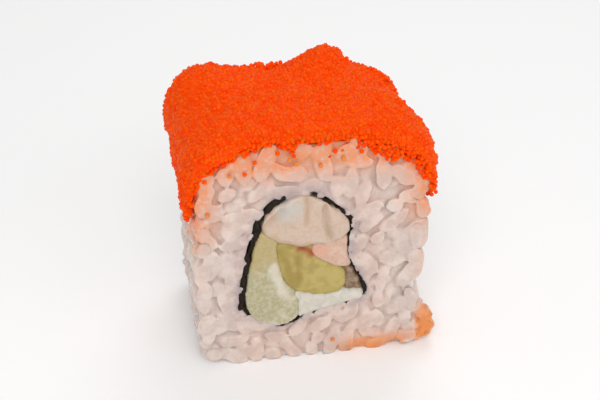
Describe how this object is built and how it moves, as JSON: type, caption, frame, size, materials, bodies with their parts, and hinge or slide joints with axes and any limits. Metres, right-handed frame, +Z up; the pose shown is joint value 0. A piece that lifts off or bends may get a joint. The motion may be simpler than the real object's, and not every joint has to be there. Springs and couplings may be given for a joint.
{
  "type": "sushi roll",
  "caption": "Slice of an inside-out sushi roll: a squarish ring of rice round a nori wrap filled with shrimp, salmon, cucumber, avocado and soft cheese, under a blanket of orange fish roe.",
  "frame": {"origin": "on the surface the slice stands on, under the middle of its bounding box", "axes": "+Z up; Y along the roll, from cut face to cut face, with the cut face that the picture shows facing -Y; +X to the right when that face is looked at"},
  "size_m": [0.0428, 0.0268, 0.0477],
  "materials": {
    "rice": "moist cooked short-grain rice, slightly translucent",
    "nori": "damp pressed seaweed sheet, nearly black, crinkled",
    "shrimp": "cooked shrimp flesh, wet, creamy white",
    "salmon": "pale pink salmon, wet",
    "avocado": "ripe avocado flesh, yellow-green, smooth",
    "cucumber": "cut cucumber, pale green, watery, with seed pulp",
    "soft_cheese": "soft cream-white cheese, smooth",
    "crab": "shredded crab meat, beige brown, wet",
    "roe": "capelin roe, small translucent orange eggs, wet"
  },
  "bodies": {
    "root": {"rice": "rice", "nori": "nori", "shrimp": "shrimp", "salmon": "salmon", "avocado": "avocado", "cucumber": "cucumber", "soft_cheese": "soft_cheese", "crab": "crab", "roe": "roe"}
  },
  "joints": []
}
